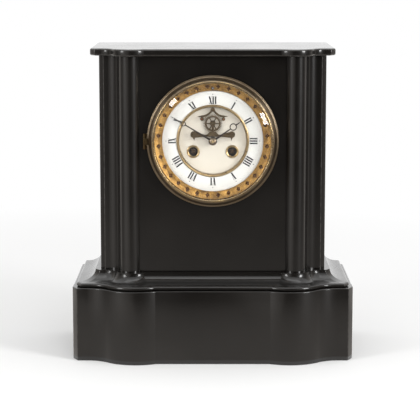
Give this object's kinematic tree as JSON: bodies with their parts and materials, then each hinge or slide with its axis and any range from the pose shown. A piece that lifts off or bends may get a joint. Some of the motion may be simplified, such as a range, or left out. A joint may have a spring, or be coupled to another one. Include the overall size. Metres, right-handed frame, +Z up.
{
  "type": "mantel clock",
  "caption": "Free-standing black stone mantel clock with serpentine corners, moulded plinth, enamel dial, visible escapement, pendulum, strike work, hinged bezel and rear door.",
  "frame": {"origin": "under the middle of the case, on the surface the clock stands on", "axes": "+Z up, the dial faces -Y, +X to the right of someone facing the dial"},
  "size_m": [0.29, 0.166, 0.321],
  "materials": {
    "black_slate": "polished",
    "brass": "polished",
    "steel": "blued",
    "white_enamel": "gloss",
    "clear_glass": "clear",
    "carnelian": "polished",
    "bell_metal": "satin",
    "dark_bronze": "satin"
  },
  "bodies": {
    "case": {"top_slab": "black_slate", "front_panel": "black_slate", "left_pilaster": "black_slate", "right_pilaster": "black_slate", "left_side_panel": "black_slate", "right_side_panel": "black_slate", "back_panel": "black_slate", "ledge_moulding": "black_slate", "plinth_front": "black_slate", "plinth_left_side": "black_slate", "plinth_right_side": "black_slate", "plinth_back": "black_slate", "base_floor": "black_slate", "bezel_seat": "brass", "sight_ring": "brass", "dial_plate": "brass", "chapter_ring": "white_enamel", "center_ring": "brass", "center_dial": "white_enamel", "winding_hole_collets": "brass", "front_plate": "brass", "back_plate": "brass", "case_straps": "brass", "strap_screws": "steel", "escape_cock": "dark_bronze", "suspension_cock": "brass", "bell": "bell_metal", "bell_stand": "brass", "back_ring": "brass"},
    "bezel": {"bezel_rim": "brass", "bezel_glass": "clear_glass"},
    "back_door": {"back_door": "brass"},
    "minute_hand": {"minute_hand": "steel", "hand_nut": "brass", "cannon_pinion": "steel", "center_wheel": "brass"},
    "hour_hand": {"hour_hand": "steel", "hour_wheel": "brass"},
    "minute_wheel": {"minute_wheel": "brass"},
    "intermediate_wheel": {"intermediate_wheel": "brass"},
    "third_wheel": {"third_wheel": "brass"},
    "escape_wheel": {"escape_wheel": "brass"},
    "going_barrel": {"going_barrel": "brass"},
    "going_winding_arbor": {"going_winding_arbor": "steel"},
    "going_click": {"going_click": "steel"},
    "pallet_anchor": {"pallet_anchor": "dark_bronze", "pallet_stones": "carnelian"},
    "pendulum": {"suspension_spring": "steel", "pendulum_rod": "brass", "pendulum_bob": "brass"},
    "regulator_arbor": {"regulator_arbor": "steel"},
    "strike_barrel": {"strike_barrel": "brass"},
    "strike_winding_arbor": {"strike_winding_arbor": "steel"},
    "strike_click": {"strike_click": "steel"},
    "strike_second_wheel": {"strike_second_wheel": "brass"},
    "strike_pin_wheel": {"strike_pin_wheel": "brass"},
    "strike_locking_wheel": {"strike_locking_wheel": "brass"},
    "strike_warning_wheel": {"strike_warning_wheel": "brass"},
    "strike_fly": {"strike_fly": "brass"},
    "hammer": {"hammer": "steel"}
  },
  "joints": [
    {"name": "bezel_hinge", "type": "hinge", "parent": "case", "child": "bezel", "pos_m": [-0.0696, -0.0524, 0.227], "axis": [0, 0, -1], "range_deg": [0, 105]},
    {"name": "back_door_hinge", "type": "hinge", "parent": "case", "child": "back_door", "pos_m": [-0.0661, 0.0776, 0.227], "axis": [0, 0, 1], "range_deg": [0, 110]},
    {"name": "minute_hand_turn", "type": "hinge", "parent": "case", "child": "minute_hand", "pos_m": [0, -0.0194, 0.227], "axis": [0, 1, 0], "continuous": true},
    {"name": "hour_hand_turn", "type": "hinge", "parent": "case", "child": "hour_hand", "pos_m": [0, -0.0194, 0.227], "axis": [0, 1, 0], "continuous": true},
    {"name": "minute_wheel_turn", "type": "hinge", "parent": "case", "child": "minute_wheel", "pos_m": [0, -0.0194, 0.215], "axis": [0, 1, 0], "continuous": true},
    {"name": "intermediate_wheel_turn", "type": "hinge", "parent": "case", "child": "intermediate_wheel", "pos_m": [0.01436, -0.0194, 0.23573], "axis": [0, 1, 0], "continuous": true},
    {"name": "third_wheel_turn", "type": "hinge", "parent": "case", "child": "third_wheel", "pos_m": [-0.01188, -0.0194, 0.23711], "axis": [0, 1, 0], "continuous": true},
    {"name": "escape_wheel_turn", "type": "hinge", "parent": "case", "child": "escape_wheel", "pos_m": [0, -0.0194, 0.2446], "axis": [0, 1, 0], "continuous": true},
    {"name": "going_barrel_turn", "type": "hinge", "parent": "case", "child": "going_barrel", "pos_m": [0.02, -0.0194, 0.2155], "axis": [0, 1, 0], "continuous": true},
    {"name": "going_winding_turn", "type": "hinge", "parent": "case", "child": "going_winding_arbor", "pos_m": [0.02, -0.0194, 0.2155], "axis": [0, 1, 0], "range_deg": [0, 1620]},
    {"name": "going_click_swing", "type": "hinge", "parent": "case", "child": "going_click", "pos_m": [0.01518, -0.0194, 0.22539], "axis": [0, 1, 0], "range_deg": [-12, 0]},
    {"name": "pendulum_swing", "type": "hinge", "parent": "case", "child": "pendulum", "pos_m": [0, -0.0194, 0.259], "axis": [0, 1, 0], "range_deg": [-3, 3]},
    {"name": "anchor_swing", "type": "hinge", "parent": "case", "child": "pallet_anchor", "pos_m": [0, -0.0194, 0.259], "axis": [0, 1, 0], "range_deg": [-3, 3]},
    {"name": "regulator_turn", "type": "hinge", "parent": "case", "child": "regulator_arbor", "pos_m": [0, -0.0194, 0.2806], "axis": [0, 1, 0], "range_deg": [-180, 180]},
    {"name": "strike_pin_wheel_turn", "type": "hinge", "parent": "case", "child": "strike_pin_wheel", "pos_m": [-0.02557, -0.0194, 0.24722], "axis": [0, 1, 0], "continuous": true},
    {"name": "strike_barrel_turn", "type": "hinge", "parent": "case", "child": "strike_barrel", "pos_m": [-0.02, -0.0194, 0.2155], "axis": [0, 1, 0], "continuous": true},
    {"name": "strike_second_wheel_turn", "type": "hinge", "parent": "case", "child": "strike_second_wheel", "pos_m": [-0.0305, -0.0194, 0.23369], "axis": [0, 1, 0], "continuous": true},
    {"name": "strike_locking_wheel_turn", "type": "hinge", "parent": "case", "child": "strike_locking_wheel", "pos_m": [-0.01897, -0.0194, 0.25865], "axis": [0, 1, 0], "continuous": true},
    {"name": "strike_warning_wheel_turn", "type": "hinge", "parent": "case", "child": "strike_warning_wheel", "pos_m": [-0.00997, -0.0194, 0.25865], "axis": [0, 1, 0], "continuous": true},
    {"name": "strike_fly_turn", "type": "hinge", "parent": "case", "child": "strike_fly", "pos_m": [-0.00739, -0.0194, 0.26575], "axis": [0, 1, 0], "continuous": true},
    {"name": "strike_winding_turn", "type": "hinge", "parent": "case", "child": "strike_winding_arbor", "pos_m": [-0.02, -0.0194, 0.2155], "axis": [0, 1, 0], "range_deg": [-1620, 0]},
    {"name": "strike_click_swing", "type": "hinge", "parent": "case", "child": "strike_click", "pos_m": [-0.01518, -0.0194, 0.22539], "axis": [0, 1, 0], "range_deg": [0, 12]},
    {"name": "hammer_lift", "type": "hinge", "parent": "case", "child": "hammer", "pos_m": [-0.0395, -0.0194, 0.249], "axis": [0, 1, 0], "range_deg": [0, 14], "stiffness_Nm_per_rad": 0.002, "springref_deg": -17.19}
  ],
  "couplings": [
    {"joint": "minute_wheel_turn", "follows": "minute_hand_turn", "ratio": -0.33333},
    {"joint": "hour_hand_turn", "follows": "minute_hand_turn", "ratio": 0.083333},
    {"joint": "intermediate_wheel_turn", "follows": "minute_hand_turn", "ratio": -0.16667},
    {"joint": "going_barrel_turn", "follows": "minute_hand_turn", "ratio": 0.027778},
    {"joint": "third_wheel_turn", "follows": "minute_hand_turn", "ratio": -12},
    {"joint": "escape_wheel_turn", "follows": "minute_hand_turn", "ratio": 144},
    {"joint": "anchor_swing", "follows": "pendulum_swing", "ratio": 1},
    {"joint": "strike_second_wheel_turn", "follows": "strike_pin_wheel_turn", "ratio": -0.2},
    {"joint": "strike_barrel_turn", "follows": "strike_pin_wheel_turn", "ratio": 0.033333},
    {"joint": "strike_locking_wheel_turn", "follows": "strike_pin_wheel_turn", "ratio": -10},
    {"joint": "strike_warning_wheel_turn", "follows": "strike_pin_wheel_turn", "ratio": 90},
    {"joint": "strike_fly_turn", "follows": "strike_pin_wheel_turn", "ratio": -720}
  ]
}
